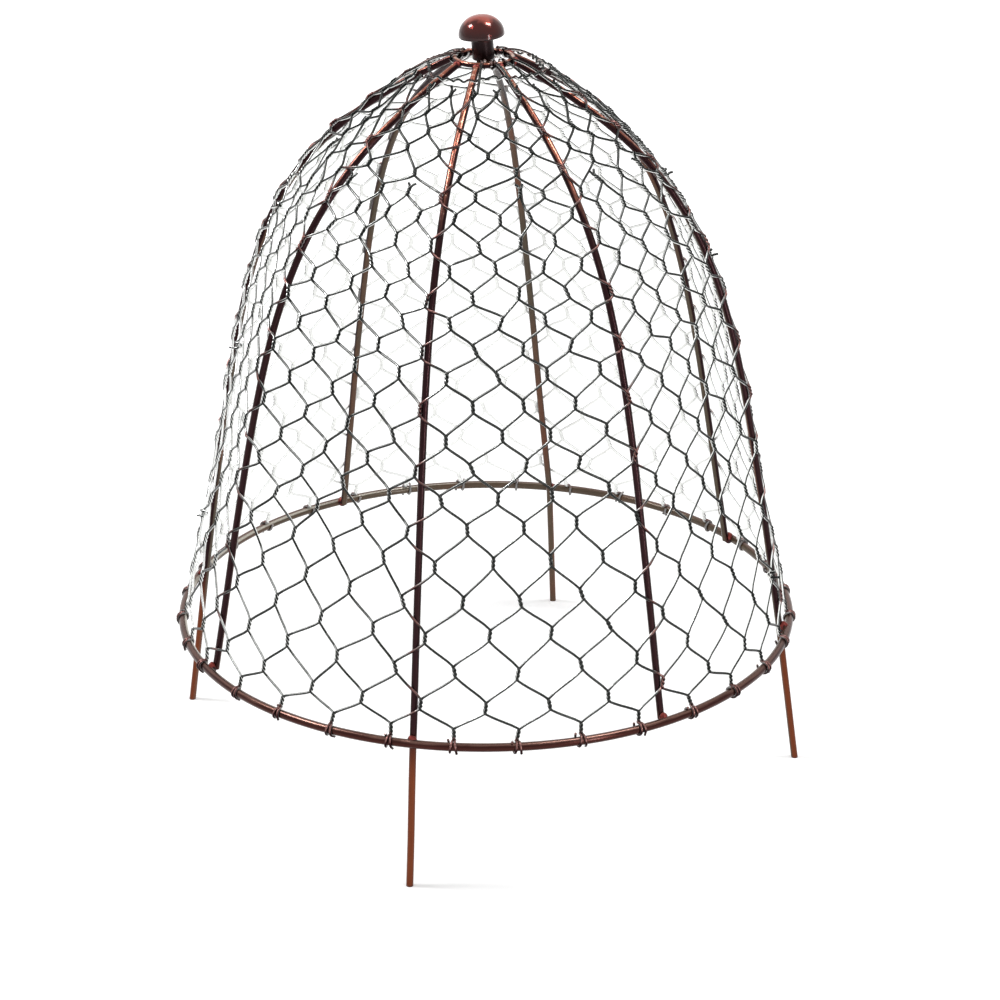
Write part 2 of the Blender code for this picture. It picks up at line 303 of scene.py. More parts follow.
class NodeTree(Graph):
    """A Geometry Nodes tree with named inputs, ending in Realize Instances and Set Material."""

    def __init__(self, name):
        super().__init__(bpy.data.node_groups.new(name, "GeometryNodeTree"))
        for way in ("OUTPUT", "INPUT"):
            self.tree.interface.new_socket("Geometry", in_out=way, socket_type="NodeSocketGeometry")
        self.entry = self.tree.nodes.new("NodeGroupInput")

    def named(self, name, kind="Float"):
        """A named input of the tree."""
        self.tree.interface.new_socket(name, in_out="INPUT", socket_type=f"NodeSocket{kind}")
        return Socket(self, self.entry.outputs[name])

    def geometry(self):
        """The geometry that the modifier stands on."""
        return Socket(self, self.entry.outputs["Geometry"])

    def close(self, shape):
        """Smooth, realize and paint the shape, and send it out."""
        material = self.named("Material", "Material")
        shape = self.add("GeometryNodeSetShadeSmooth", {}, {"Geometry": shape})
        shape = self.add("GeometryNodeRealizeInstances", {}, {"Geometry": shape})
        shape = self.add("GeometryNodeSetMaterial", {}, {"Geometry": shape, "Material": material})
        self.supply(self.tree.nodes.new("NodeGroupOutput"), {"Geometry": shape})
        return self.tree


def link(data, name):
    """A new object in the scene, at the origin."""
    piece = bpy.data.objects.new(name, data)
    bpy.context.scene.collection.objects.link(piece)
    return piece


def baked(name, guide, tree, values):
    """Run a node tree on a guide mesh and keep what it makes as one plain mesh."""
    carrier = link(guide, f"{name}_guide")
    modifier = carrier.modifiers.new("make", "NODES")
    modifier.node_group = tree
    for item in tree.interface.items_tree:
        if item.in_out == "INPUT" and item.name in values:
            modifier[item.identifier] = values[item.name]
    depsgraph = bpy.context.evaluated_depsgraph_get()
    mesh = bpy.data.meshes.new_from_object(carrier.evaluated_get(depsgraph),
                                           preserve_all_data_layers=True, depsgraph=depsgraph)
    mesh.name = name
    bpy.data.objects.remove(carrier, do_unlink=True)
    return link(mesh, name)


def path_mesh(routes, closed=False):
    """A mesh of loose edges along each route."""
    points, edges = [], []
    for route in routes:
        start = len(points)
        points.extend(tuple(spot) for spot in route)
        edges.extend((index, index + 1) for index in range(start, len(points) - 1))
        if closed:
            edges.append((len(points) - 1, start))
    mesh = bpy.data.meshes.new("path")
    mesh.from_pydata(points, edges, [])
    painted = mesh.attributes.new("painted", "FLOAT", "POINT")
    painted.data.foreach_set("value", near_frame(np.array(points)))
    return mesh


def near_frame(points):
    """How much of the frame's paint a wire has taken at each point, from 0 to 1."""
    radius = np.hypot(points[:, 0], points[:, 1])
    angle = np.degrees(np.arctan2(points[:, 0], -points[:, 1]))
    apart = [np.hypot(radius - ring, points[:, 2] - height) - rod / 2
             for ring, height, rod in ((BASE_RADIUS, BASE_HEIGHT, BASE_ROD),
                                       (TOP_RADIUS, TOP_HEIGHT, TOP_ROD))]
    rise = np.maximum((points[:, 2] - BASE_HEIGHT) / (TOP_HEIGHT - BASE_HEIGHT), 0)
    for _, rod_angle, lean in RODS:
        turn = (angle - rod_angle - lean * rise + 180) % 360 - 180
        apart.append(np.abs(np.radians(turn)) * radius)
    closeness = np.clip((PAINT_REACH - np.min(apart, axis=0)) / (PAINT_REACH / 2), 0, 1)
    crown = np.clip((points[:, 2] - UNPAINTED_FROM) / UNPAINTED_RISE, 0, 1)
    return (closeness * (1 - UNPAINTED_SHARE * crown)).astype(np.float32)


def deliver(piece, slot, *nodes):
    """Ride the one body and stand for the CAD nodes; the slot is not used."""
    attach(piece, "root")
    if nodes:
        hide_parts(*nodes)


def sweep_tree():
    """Node tree that sweeps a round section along each path of its guide."""
    tree = NodeTree("swept_wire")
    diameter = tree.named("Diameter")
    sides = tree.named("Sides", "Int")
    stray = tree.named("Stray")
    stray_scale = tree.named("Stray Scale")
    seed = tree.named("Seed")
    path = tree.add("GeometryNodeMeshToCurve", {}, {0: tree.geometry()})
    spot = tree.add("GeometryNodeInputPosition")
    noise = tree.add("ShaderNodeTexNoise", {"noise_dimensions": "4D"},
                     {"Vector": spot, "W": seed, "Scale": stray_scale, "Detail": 1.0}, output="Color")
    offset = tree.scaled(tree.vector("SUBTRACT", noise, (0.5, 0.5, 0.5)), stray * 2)
    path = tree.add("GeometryNodeSetPosition", {}, {"Geometry": path, "Offset": offset})
    length = tree.add("GeometryNodeSplineParameter", output="Length")
    path = tree.add("GeometryNodeStoreNamedAttribute", {"data_type": "FLOAT", "domain": "POINT"},
                    {"Geometry": path, "Name": "along", "Value": length})
    section = tree.add("GeometryNodeCurvePrimitiveCircle", {"mode": "RADIUS"},
                       {"Resolution": sides, "Radius": diameter / 2})
    section = tree.add("GeometryNodeStoreNamedAttribute",
                       {"data_type": "FLOAT_VECTOR", "domain": "POINT"},
                       {"Geometry": section, "Name": "rim", "Value": tree.vector("NORMALIZE", spot)})
    tube = tree.add("GeometryNodeCurveToMesh", {},
                    {"Curve": path, "Profile Curve": section, "Fill Caps": True})
    return tree.close(tube)


BEAD_LEAST, BEAD_MOST = (0.95, 0.95, 1.1), (1.25, 1.2, 1.5)   # a bead's stretch, each way
BEAD_LUMPS = 330.0                      # lumps a metre, about


def bead_tree():
    """Node tree that sets a lumpy weld bead on each point, laid along its attribute."""
    tree = NodeTree("weld_beads")
    size = tree.named("Bead Size")
    lump = tree.named("Lump")
    seed = tree.named("Seed", "Int")
    ball = tree.add("GeometryNodeMeshIcoSphere", {}, {"Radius": size, "Subdivisions": 4})
    lay = tree.add("GeometryNodeInputNamedAttribute", {"data_type": "FLOAT_VECTOR"}, {"Name": "lay"})
    turn = tree.add("FunctionNodeAlignRotationToVector", {"axis": "Z"}, {"Vector": lay})
    stretch = tree.add("FunctionNodeRandomValue", {"data_type": "FLOAT_VECTOR"},
                       {0: BEAD_LEAST, 1: BEAD_MOST, "Seed": seed})
    beads = tree.add("GeometryNodeInstanceOnPoints", {},
                     {"Points": tree.geometry(), "Instance": ball, "Rotation": turn, "Scale": stretch})
    beads = tree.add("GeometryNodeRealizeInstances", {}, {"Geometry": beads})
    spot = tree.add("GeometryNodeInputPosition")
    noise = tree.add("ShaderNodeTexNoise", {"noise_dimensions": "3D"},
                     {"Vector": spot, "Scale": BEAD_LUMPS, "Detail": 2.0})
    push = tree.scaled(tree.add("GeometryNodeInputNormal"), (noise - 0.5) * lump)
    beads = tree.add("GeometryNodeSetPosition", {}, {"Geometry": beads, "Offset": push})
    return tree.close(beads)


def rib_foot():
    """Radius and height where a rod's middle passes the inside of the base ring."""
    clearance = BASE_ROD / 2 + GAP + RIB_ROD / 2
    return BASE_RADIUS - clearance - RIB_SLACK, BASE_HEIGHT


def rib_head():
    """Radius and height where a rod butts against the outside of the top ring."""
    run = Vector((SHOULDER_HANDLE[0] - TOP_RADIUS, SHOULDER_HANDLE[1] - TOP_HEIGHT)).normalized()
    reach = TOP_ROD / 2 + GAP
    return TOP_RADIUS + run.x * reach, TOP_HEIGHT + run.y * reach


def bell_outline(samples=1200):
    """Radius, height and length run of the rods' curve, from the base ring upwards."""
    ends = np.array([rib_foot(), SIDE_HANDLE, SHOULDER_HANDLE, rib_head()])
    t = np.linspace(0, 1, samples)[:, None]
    weights = np.hstack([(1 - t) ** 3, 3 * (1 - t) ** 2 * t, 3 * (1 - t) * t ** 2, t ** 3])
    points = weights @ ends
    steps = np.hypot(*np.diff(points, axis=0).T)
    return points[:, 0], points[:, 1], np.concatenate([[0], np.cumsum(steps)])


BELL_RADIUS, BELL_HEIGHT, BELL_RUN = bell_outline()
BELL_LENGTH = BELL_RUN[-1]


def bell_at(run, standoff=0.0):
    """Radius and height at a length run up the bell, moved outwards by standoff."""
    step = 1.0 * MM
    low, high = np.clip((run - step, run + step), 0, BELL_LENGTH)
    slope = Vector((np.interp(high, BELL_RUN, BELL_RADIUS) - np.interp(low, BELL_RUN, BELL_RADIUS),
                    np.interp(high, BELL_RUN, BELL_HEIGHT) - np.interp(low, BELL_RUN, BELL_HEIGHT)))
    slope.normalize()
    radius = np.interp(run, BELL_RUN, BELL_RADIUS) + slope.y * standoff
    height = np.interp(run, BELL_RUN, BELL_HEIGHT) - slope.x * standoff
    return float(radius), float(height)


def place(radius, height, angle):
    """The point at an angle (degrees) anticlockwise from the front."""
    turn = math.radians(angle)
    return Vector((radius * math.sin(turn), -radius * math.cos(turn), height))


def leaned(angle, lean, height):
    """A rod's angle at a height, with its lean growing above the base ring."""
    rise = (height - BASE_HEIGHT) / (TOP_HEIGHT - BASE_HEIGHT)
    return angle + lean * max(rise, 0.0)


def has_leg(node):
    """Whether a rod runs on below the base ring."""
    return node.startswith("leg_")


LEG_STEPS = 20
TIP_ALLOWANCE = 4 * MM                  # how far a leg runs below the floor before it is cut


def rod_route(node, angle, lean, steps):
    """Points along the middle of one rod, from the top ring down to its foot."""
    route = []
    for index in range(steps + 1):
        radius, height = bell_at(BELL_LENGTH * (1 - index / steps))
        route.append(place(radius, height, leaned(angle, lean, height)))
    if has_leg(node):
        foot_radius, foot_height = rib_foot()
        splay = (OVERALL_WIDTH / 2 - RIB_ROD / 2 - foot_radius) / foot_height
        for index in range(1, LEG_STEPS + 1):
            drop = (foot_height + TIP_ALLOWANCE) * index / LEG_STEPS
            route.append(place(foot_radius + splay * drop, foot_height - drop, angle))
    return route


def cut_flat(piece):
    """Cut whatever reaches below the floor and close the cut."""
    builder = bmesh.new()
    builder.from_mesh(piece.data)
    geometry = builder.verts[:] + builder.edges[:] + builder.faces[:]
    cut = bmesh.ops.bisect_plane(builder, geom=geometry, plane_co=(0, 0, 0), plane_no=(0, 0, 1),
                                 clear_inner=True)
    rim = [item for item in cut["geom_cut"] if isinstance(item, bmesh.types.BMEdge)]
    if not rim:
        raise RuntimeError(f"{piece.name} doesn't reach the floor")
    bmesh.ops.contextual_create(builder, geom=rim)
    builder.to_mesh(piece.data)
    builder.free()


# Netting rows: up to each run, the height from one row of twists to the next
NET_BANDS = ((20 * MM, 18.5 * MM), (138 * MM, 24.0 * MM), (240 * MM, 20.5 * MM),
             (360 * MM, 17.2 * MM), (1.0, 16.0 * MM))
NET_FIRST_ROW = 7.5 * MM
NET_TOP = 460 * MM
CROWN_RUN = 376 * MM                   # above this the netting has fewer columns

# Columns of twists, in degrees
EVEN_SHIFT, ODD_SHIFT = -2.4, 3.2      # how far a row's twists stand from the columns
CROWN_SHIFT = 3.0                      # the same above CROWN_RUN
FRONT_SPREAD = 3.4                     # how far the columns spread sideways by the crown
COLUMN_DRIFT = 18.0                    # how far they lean rightwards, in a metre of run
DRIFT_MIDDLE = 108 * MM                # run where they stand at their own angles
DRIFT_FROM, DRIFT_TO = -80 * MM, 82 * MM    # runs from DRIFT_MIDDLE between which they lean

# Twists and the wires that slant between them
TWIST_HALF_TURNS = 3
TWIST_STEPS = 12                       # points in a twist
TWIST_COIL = 0.40                      # a strand's middle from the twist's, in wire gauges
TWIST_LIFT = 0.45 * MM                 # how much farther out a twist stands than its wires
TWIST_LEAN = 1.6 * MM                  # how far its top leans to either side, about
CROWN_TWIST_CUT = 0.42                 # share by which the crown's twists are shorter
SHORT_FROM, SHORT_TO = 0.68, 0.85      # shares of the bell over which they get shorter
SLANT_STEPS = 5                        # parts of a slanting wire
SLANT_EASE = 0.22                      # how far a slanting wire bends towards the twists

# How loosely the netting hangs, and how it lies on the rods
SAGGING = ((95.0, 136.0), (276.0, 310.0))   # angles where it hangs loosest
SAG_FACTOR = 1.9                       # how much farther its twists stray there
CROWN_LOOSENESS = 1.2                  # how much more the twists stray at the crown
LOOSE_FROM, LOOSE_TO = 0.55, 0.85      # shares of the bell over which they stray more
UPWARD_STRAY = 0.7                     # of the sideways one
FLAT_FROM, FLAT_TO = 15 * MM, 150 * MM  # runs over which the netting goes from round to flat
FLAT_SHARE = 0.88                      # how flat it lies between two rods
CROWN_LIFT = 2.0 * MM                  # how far it stands off the rods at the crown
LIFT_FROM, LIFT_TO = 0.86, 0.95        # shares of the bell over which it lifts

# Wire ends: cut tails, and wraps round the base ring and the top ring; pairs are least and most
STUB_OFF = 0.5                         # wire gauges that an end starts aside
FOOT_TURNS = {-1: (0.7, 1.0), 1: (0.3, 0.45)}   # round the base ring, by the wire's side
FOOT_START = 88                        # degrees from outwards where a wrap leaves the netting
FOOT_STEPS = 14                        # points in a turn
FOOT_ADVANCE = (1.2, 2.0)              # wire gauges along the ring in a turn
FOOT_STUB = (1.0, 2.5)                 # millimetres that its end sticks out
ROD_CLEARANCE = 2.1                    # degrees that a wire's wrap keeps from a rod's foot
TAIL_REACH = (2, 6)                    # millimetres of a cut end above a twist
TAIL_CURL = (-0.2, 0.5)                # how far it bends outwards, over its reach
TAIL_SWAY = (0.5, 3.0)                 # millimetres that it bends aside
WOUND_SHARE = 0.2                      # of the last row's wires, those wound onto the top ring
TOP_TURNS = (0.6, 1.3)                 # round the top ring, on either side
TOP_START = math.radians(125)          # where a wrap begins, from outwards
TOP_STEPS = 12                         # points in a turn
TOP_ADVANCE = 1.2                      # wire gauges along the ring in a turn
TOP_STUB = (1.0, 3.0)                  # millimetres that its end sticks out
TOP_WANDER = 5                         # degrees that a wire wanders on its way to the ring
TOP_CLEARANCE = 8.5                    # degrees that its wrap keeps from a rod's head
TOP_HUMP = 3.0 * MM                    # how high it arches on its way


def smooth_step(value, low, high):
    """Smooth rise from 0 at low to 1 at high."""
    share = min(max((value - low) / (high - low), 0.0), 1.0)
    return share * share * (3 - 2 * share)


def up_the_bell(run, low, high):
    """Smooth rise from 0 to 1 between two shares of the bell's length."""
    return smooth_step(run, low * BELL_LENGTH, high * BELL_LENGTH)


def chord_share(angle, height):
    """Radius of the straight line between the two rods beside an angle, over the bell's radius."""
    turned_in = angle % 360
    spots = [leaned(rod_angle, lean, height) for _, rod_angle, lean in RODS]
    spots.append(spots[0] + 360)
    for first, second in zip(spots, spots[1:]):
        if first <= turned_in <= second:
            half = math.radians(second - first) / 2
            return math.cos(half) / math.cos(math.radians(turned_in - first) - half)
    return 1.0


def net_rows():
    """Length run of each row of twists, with the mesh closer where the bell turns over."""
    rows = [NET_FIRST_ROW]
    while rows[-1] < NET_TOP:
        pitch = next(pitch for reach, pitch in NET_BANDS if rows[-1] < reach)
        rows.append(rows[-1] + pitch)
    return [run for run in rows if run < NET_TOP]


def round_ring(radius, height, coil, around, angle, aside=0.0):
    """A point on a wire wound round a ring's rod, around radians from outwards."""
    return place(radius + coil * math.cos(around), height + coil * math.sin(around),
                 angle + math.degrees(aside / radius))


class Netting:
    """Where every twist of the netting stands, and the routes of its wires."""

    def __init__(self, settings):
        self.settings = settings
        self.rows = net_rows()
        self.last_full = sum(run < CROWN_RUN for run in self.rows) - 1
        self.draw = random.Random(settings.seed)
        self.stray = {(row, column): self.one_stray(row, column) for row in range(len(self.rows))
                      for column in range(self.count(row))}
        crown_pitch = 360.0 / settings.crown_columns
        kept = [self.flat_angle(self.last_full + 1, index) - crown_pitch / 2
                for index in range(settings.crown_columns)]
        self.kept = [round((angle - self.flat_angle(self.last_full, 0)) * settings.columns / 360.0)
                     for angle in kept]

    def count(self, row):
        """Twists in a row."""
        return self.settings.columns if row <= self.last_full else self.settings.crown_columns

    def flat_angle(self, row, column):
        """Angle of a twist before it strays."""
        pitch = 360.0 / self.count(row)
        if row > self.last_full:
            set_in = pitch / 2 if (row - self.last_full) % 2 == 0 else 0
            return column * pitch + CROWN_SHIFT + set_in
        return column * pitch + (ODD_SHIFT if row % 2 else EVEN_SHIFT)

    def above(self, row, column, side):
        """Column in the next row that a wire rises to, or None where the crown drops a twist."""
        if row == self.last_full:
            round_trip, index = divmod(column - self.kept[0], self.settings.columns)
            if index + self.kept[0] not in self.kept:
                return None
            crown = self.kept.index(index + self.kept[0]) + round_trip * self.settings.crown_columns
            return crown if side < 0 else crown - 1
        offset = (row - self.last_full - 1) % 2 if row > self.last_full else row % 2
        return column + (offset if side < 0 else offset - 1)

    def one_stray(self, row, column):
        """How far one twist strays sideways and upwards, and how much it leans."""
        loose = self.settings.looseness * (1.0 + CROWN_LOOSENESS
                                           * up_the_bell(self.rows[row], LOOSE_FROM, LOOSE_TO))
        angle = self.flat_angle(row, column) % 360
        if any(low < angle < high for low, high in SAGGING):
            loose *= SAG_FACTOR
        return (self.draw.gauss(0, loose), self.draw.gauss(0, loose * UPWARD_STRAY),
                self.draw.gauss(0, TWIST_LEAN))

    def twist(self, row, column):
        """Angle and run of a twist's middle, its sideways lean, and its length."""
        run = self.rows[row]
        aside, along, lean = self.stray[row, column % self.count(row)]
        angle = self.flat_angle(row, column)
        angle += FRONT_SPREAD * run / BELL_LENGTH * math.sin(math.radians(angle))
        angle += COLUMN_DRIFT * min(max(run - DRIFT_MIDDLE, DRIFT_FROM), DRIFT_TO)
        length = self.settings.twist_length
        if row == 0:
            return clear_of_rods(angle), run, lean, length
        length *= 1 - CROWN_TWIST_CUT * up_the_bell(run, SHORT_FROM, SHORT_TO)
        radius, _ = bell_at(run)
        return angle + math.degrees(aside / radius), run + along, lean, length

    def point(self, angle, run, aside=0.0, out=0.0):
        """A point on the netting, from its angle and run, and shifts aside and outwards."""
        lift = CROWN_LIFT * up_the_bell(run, LIFT_FROM, LIFT_TO)
        radius, height = bell_at(run, self.settings.standoff + lift + out)
        turn = angle + math.degrees(aside / radius)
        flat = FLAT_SHARE * smooth_step(run, FLAT_FROM, FLAT_TO)
        return place(radius * (1 - flat * (1 - chord_share(turn, height))), height, turn)

    def twisted(self, row, column, side):
        """A wire's turns in one twist, upwards; side is -1 for a wire that rises rightwards."""
        angle, run, lean, length = self.twist(row, column)
        coil = self.settings.gauge * TWIST_COIL
        route = []
        for index in range(TWIST_STEPS + 1):
            share = index / TWIST_STEPS
            turn = math.pi * TWIST_HALF_TURNS * share
            route.append(self.point(angle, run + length * (share - 0.5),
                                    lean * (share - 0.5) + side * coil * math.cos(turn),
                                    TWIST_LIFT + side * coil * math.sin(turn)))
        return route

    def slanted(self, row, column, next_column, side):
        """The middle points of a wire that slants from one twist to the next one up."""
        angle, run, lean, length = self.twist(row, column)
        next_angle, next_run, next_lean, next_length = self.twist(row + 1, next_column)
        coil = self.settings.gauge * TWIST_COIL
        start, end = run + length / 2, next_run - next_length / 2
        start_aside, end_aside = lean / 2 - side * coil, -next_lean / 2 + side * coil
        route = []
        for index in range(1, SLANT_STEPS):
            share = index / SLANT_STEPS
            eased = share + SLANT_EASE * (smooth_step(share, 0, 1) - share)
            route.append(self.point(angle + (next_angle - angle) * eased,
                                    start + (end - start) * share,
                                    start_aside + (end_aside - start_aside) * eased))
        return route

    def wire(self, first_column, side):
        """One wire from its wrap on the base ring to its end at the crown."""
        column = first_column
        route = self.foot_wrap(column, side)
        for row in range(len(self.rows)):
            route += self.twisted(row, column, side)
            if row == len(self.rows) - 1:
                return route + self.crown_end(row, column, side)
            next_column = self.above(row, column, side)
            if next_column is None:
                return route + self.cut_tail(row, column, side)
            route += self.slanted(row, column, next_column, side)
            column = next_column

    def foot_wrap(self, column, side):
        """The cut end of a wire, wound round the base ring, read towards the netting."""
        angle = self.twist(0, column)[0]
        turns = self.draw.uniform(*FOOT_TURNS[side])
        gauge = self.settings.gauge
        advance = gauge * self.draw.uniform(*FOOT_ADVANCE)
        steps = round(turns * FOOT_STEPS)
        route = []
        for index in range(steps, -1, -1):
            wound = turns * index / steps
            route.append(round_ring(BASE_RADIUS, BASE_HEIGHT, BASE_ROD / 2 + gauge / 2,
                                    math.radians(FOOT_START - 360 * wound), angle,
                                    side * (gauge / 2 + advance * wound)))
        stub = (route[0] - route[1]).normalized()
        return [route[0] + stub * self.draw.uniform(*FOOT_STUB) * MM] + route

    def cut_tail(self, row, column, side):
        """A short cut end above a twist, bent outwards."""
        angle, run, lean, length = self.twist(row, column)
        reach = self.draw.uniform(*TAIL_REACH) * MM
        curl = self.draw.uniform(*TAIL_CURL)
        sway = self.draw.uniform(*TAIL_SWAY) * MM
        aside = lean / 2 - side * self.settings.gauge * STUB_OFF
        return [self.point(angle, min(run + length / 2 + reach * share, BELL_LENGTH),
                           aside - side * sway * share ** 2, curl * reach * share ** 2)
                for share in (0.2, 0.4, 0.6, 0.8, 1.0)]

    def crown_end(self, row, column, side):
        """Above the last twist a wire is cut short, or runs to the top ring and is wound on."""
        if self.draw.random() > WOUND_SHARE:
            return self.cut_tail(row, column, side)
        angle, run, lean, length = self.twist(row, column)
        gauge = self.settings.gauge
        ring = (TOP_RADIUS, TOP_HEIGHT, TOP_ROD / 2 + gauge / 2)
        turns = self.draw.uniform(*TOP_TURNS)
        ring_angle = clear_of_rods(angle + self.draw.uniform(-TOP_WANDER, TOP_WANDER), TOP_CLEARANCE,
                                   lean=True)
        begin = round_ring(*ring, TOP_START, ring_angle)
        last = self.point(angle, run + length / 2, lean / 2 - side * gauge * STUB_OFF)
        route = []
        for share in (0.15, 0.3, 0.45, 0.6, 0.75, 0.9):
            middle = last.lerp(begin, share)
            middle.z += TOP_HUMP * math.sin(math.pi * share)
            route.append(middle)
        steps = round(turns * TOP_STEPS)
        for index in range(steps + 1):
            wound = turns * index / steps
            route.append(round_ring(*ring, TOP_START - math.tau * wound, ring_angle,
                                    -side * gauge * TOP_ADVANCE * wound))
        stub = (route[-1] - route[-2]).normalized()
        return route + [route[-1] + stub * self.draw.uniform(*TOP_STUB) * MM]


def clear_of_rods(angle, clearance=ROD_CLEARANCE, lean=False):
    """An angle moved off any rod that it falls on."""
    for _, rod_angle, rod_lean in RODS:
        middle = rod_angle + (rod_lean if lean else 0.0)
        apart = (angle - middle + 180) % 360 - 180
        if abs(apart) < clearance:
            return angle - apart + math.copysign(clearance, apart)
    return angle


# Stray cut ends, wound round twists in two seams at the sides
END_COUNT = 9
END_SEAMS = (100.0, 285.0)             # angles of the seams
END_SPREAD = 16                        # degrees either side of a seam
END_REACH = (2, 4)                     # millimetres that an end stands off
END_COIL = 1.55                        # from the twist's middle, in wire gauges
END_STEPS = 12                         # steps in what is wound
END_TURN_STEPS = 10                    # steps in a full turn
END_TOP, END_DROP = 0.35, 0.55         # where it starts on the twist and how far down it winds
END_BENDS = (0.7, 1.4)                 # how much each half of the end turns outwards

# Loose wire that laces the netting's top
LACING_RUN = 464                       # millimetres up the bell
LACING_START = 8                       # degrees from the front
LACING_STEPS = 8                       # points for each of the netting's columns
LACING_OVERLAP = 14                    # points that its end lies over its start
LACING_WAVE = 4                        # points in half a weave over and under the netting
LACING_WEAVE, LACING_OVERLIFT = 1.1, 1.4    # millimetres
LACING_SAG, LACING_SAGS = 2.2, 3       # depth in millimetres and number of its sags
LACING_STRAY = 0.25                    # millimetres up or down, at random


def hang_points(netting):
    """Places for stray cut ends: a random twist, in two seams at the sides."""
    draw = random.Random(netting.settings.seed + 1)
    spots = []
    for index in range(END_COUNT):
        row = draw.randrange(1, len(netting.rows) - 1)
        angle = END_SEAMS[index % 2] + draw.uniform(-END_SPREAD, END_SPREAD)
        column = round(angle * netting.count(row) / 360.0)
        spots.append((row, column, draw.choice((-1, 1)), draw.uniform(*END_REACH) * MM))
    return spots


def cut_end_route(netting, row, column, side, reach):
    """A cut wire that winds once round a twist and stands off it."""
    angle, run, _, length = netting.twist(row, column)
    coil = netting.settings.gauge * END_COIL
    route = []
    for index in range(END_STEPS + 1):
        turn = math.tau * index / END_TURN_STEPS
        route.append(netting.point(angle, run + length * (END_TOP - END_DROP * (index / END_STEPS)),
                                   side * coil * math.cos(turn), coil * math.sin(turn)))
    tail = (route[-1] - route[-2]).normalized()
    outward = (route[-1] * Vector((1, 1, 0))).normalized()
    for bend in END_BENDS:
        route.append(route[-1] + (tail + outward * bend).normalized() * reach * 0.5)
    return route


def lacing_route(netting):
    """The loose wire that draws the netting's ends together round the crown."""
    draw = random.Random(netting.settings.seed + 2)
    route = []
    steps = netting.settings.columns * LACING_STEPS
    for index in range(steps + LACING_OVERLAP):
        angle = 360.0 * index / steps + LACING_START
        weave = math.sin(math.pi * index / LACING_WAVE)
        sag = LACING_SAG * math.sin(math.radians(LACING_SAGS * angle))
        sag += draw.uniform(-LACING_STRAY, LACING_STRAY)
        lift = LACING_OVERLIFT * (index - steps) / LACING_OVERLAP if index > steps else 0.0
        route.append(netting.point(angle, (LACING_RUN + sag) * MM, 0.0,
                                   (LACING_WEAVE * weave + lift) * MM))
    return route


RING_STEPS = {"base_ring": 240, "top_ring": 72}     # points along each
ROD_STRAY_SCALE, RING_STRAY_SCALE, WIRE_STRAY_SCALE = 9.0, 7.0, 22.0    # bends a metre, about
RING_SEED, BEAD_SEED, WIRE_SEED = 20.0, 3, 5.0
WIRE_STRAY = 0.9 * MM                   # how far a wire wanders
TOP_BEAD_SHARE = 0.85                   # of the size of a bead on the base ring
BEAD_LUMP = 1.6 * MM                    # how far a bead's lumps stand out


class PROTECTOR_OT_rods(bpy.types.Operator):
    """Sweep the eight bent rods, four of them with legs cut flat at the floor"""
    bl_idname = "protector.rods"
    bl_label = "Bent rods"

    def execute(self, context):
        settings = context.scene.protector_rods
        tree = sweep_tree()
        paint = frame_paint(context.scene.protector_finish)
        for index, (node, angle, lean) in enumerate(RODS):
            guide = path_mesh([rod_route(node, angle, lean, settings.rib_steps)])
            rod = baked(f"{node}_rod", guide, tree, {
                "Diameter": settings.rib_rod, "Sides": settings.sides, "Stray": settings.hand_bend,
                "Stray Scale": ROD_STRAY_SCALE, "Seed": float(index), "Material": paint})
            if has_leg(node):
                cut_flat(rod)
            deliver(rod, "frame_paint", node)
        return {"FINISHED"}


class PROTECTOR_OT_rings(bpy.types.Operator):
    """Bend the base ring and the top ring"""
    bl_idname = "protector.rings"
    bl_label = "Rings"

    def execute(self, context):
        settings = context.scene.protector_rods
        tree = sweep_tree()
        paint = frame_paint(context.scene.protector_finish)
        for node, radius, height, rod, stray in (
                ("base_ring", BASE_RADIUS, BASE_HEIGHT, BASE_ROD, settings.hand_bend),
                ("top_ring", TOP_RADIUS, TOP_HEIGHT, TOP_ROD, 0.0)):
            steps = RING_STEPS[node]
            route = [place(radius, height, 360.0 * index / steps) for index in range(steps)]
            ring = baked(f"{node}_rod", path_mesh([route], closed=True), tree, {
                "Diameter": rod, "Sides": settings.sides, "Stray": stray,
                "Stray Scale": RING_STRAY_SCALE, "Seed": RING_SEED, "Material": paint})
            deliver(ring, "frame_paint", node)
        return {"FINISHED"}


class PROTECTOR_OT_welds(bpy.types.Operator):
    """Run a weld bead where each rod meets the base ring and the top ring"""
    bl_idname = "protector.welds"
    bl_label = "Weld beads"

    def execute(self, context):
        settings = context.scene.protector_rods
        tree = bead_tree()
        primer = weld_paint(context.scene.protector_finish)
        seats = {"base_ring_welds": [], "top_ring_welds": []}
        head_radius, head_height = rib_head()
        between = (rib_foot()[0] + BASE_RADIUS) / 2
        for _, angle, lean in RODS:
            seat = place(between, BASE_HEIGHT + MM, angle)
            seats["base_ring_welds"].append((seat, Vector((0, 0, 1))))
            seat = place(head_radius, head_height, leaned(angle, lean, TOP_HEIGHT))
            seats["top_ring_welds"].append((seat, seat * Vector((1, 1, 0))))
        for (name, spots), share in zip(seats.items(), (1.0, TOP_BEAD_SHARE)):
            guide = bpy.data.meshes.new("weld_points")
            guide.from_pydata([tuple(spot) for spot, _ in spots], [], [])
            lay = guide.attributes.new("lay", "FLOAT_VECTOR", "POINT")
            lay.data.foreach_set("vector", [value for _, way in spots for value in way])
            beads = baked(name, guide, tree, {
                "Bead Size": settings.bead_size * share, "Lump": BEAD_LUMP, "Seed": BEAD_SEED,
                "Material": primer})
            deliver(beads, "frame_paint")
        return {"FINISHED"}


